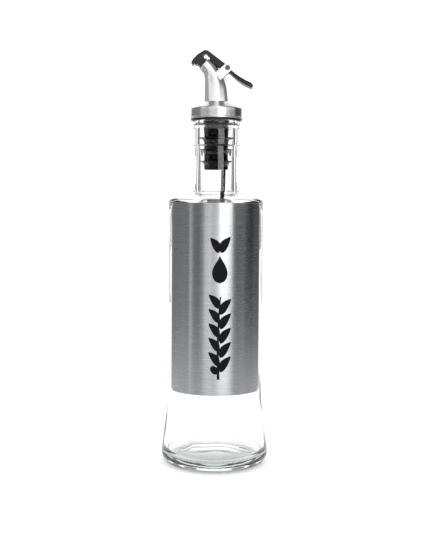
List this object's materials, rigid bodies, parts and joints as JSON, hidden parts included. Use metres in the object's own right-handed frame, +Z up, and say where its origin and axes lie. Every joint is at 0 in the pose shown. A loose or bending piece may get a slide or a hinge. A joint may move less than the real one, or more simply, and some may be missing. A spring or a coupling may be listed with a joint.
{
  "type": "oil bottle",
  "caption": "Clear glass kitchen oil bottle with a flared base, a curved brushed steel plate on its front, and a lift-out pourer with a sprung flip-top lever that uncovers the spout.",
  "frame": {"origin": "centre of the base, on the plane the bottle stands on", "axes": "+Z up along the bottle axis; the spout points to -X and the thumb lever to +X; the steel plate is on the front, towards -Y"},
  "size_m": [0.0664, 0.0664, 0.2544],
  "materials": {
    "clear_glass": "clear moulded soda-lime glass, polished",
    "brushed_plate": "curved stainless sheet brushed across its width",
    "adhesive_film": "double-sided adhesive film",
    "black_rubber": "smooth black rubber",
    "black_plastic": "semi-gloss black moulding",
    "satin_collar": "spun stainless steel with a fine turned grain",
    "silver_plastic": "satin silver metallised moulding",
    "dark_pin": "blackened steel pin",
    "spring_steel": "bright spring wire",
    "grey_plastic": "dark grey moulding with fine grip lines",
    "seal_silicone": "soft grey silicone",
    "printed_ink": "flat black screen print"
  },
  "bodies": {
    "bottle": {"glass_bottle": "clear_glass", "steel_plate": "brushed_plate", "adhesive_film": "adhesive_film"},
    "pourer": {"sealing_washer": "black_rubber", "ribbed_stopper": "black_rubber", "plug_core": "black_plastic", "air_tube": "black_plastic", "collar_cap": "satin_collar", "spout": "silver_plastic", "pivot_pin": "dark_pin", "torsion_spring": "spring_steel"},
    "flip_top": {"lever_cap": "grey_plastic", "mouth_seal": "seal_silicone"}
  },
  "joints": [
    {"name": "pourer_lift", "type": "slide", "parent": "bottle", "child": "pourer", "axis": [0, 0, 1], "range_m": [0, 0.07]},
    {"name": "flip_top_hinge", "type": "hinge", "parent": "pourer", "child": "flip_top", "pos_m": [0.00645, 0, 0.24365], "axis": [0, 1, 0], "range_deg": [0, 40], "stiffness_Nm_per_rad": 0.026, "springref_deg": -34.38, "deforming": ["torsion_spring"]}
  ]
}
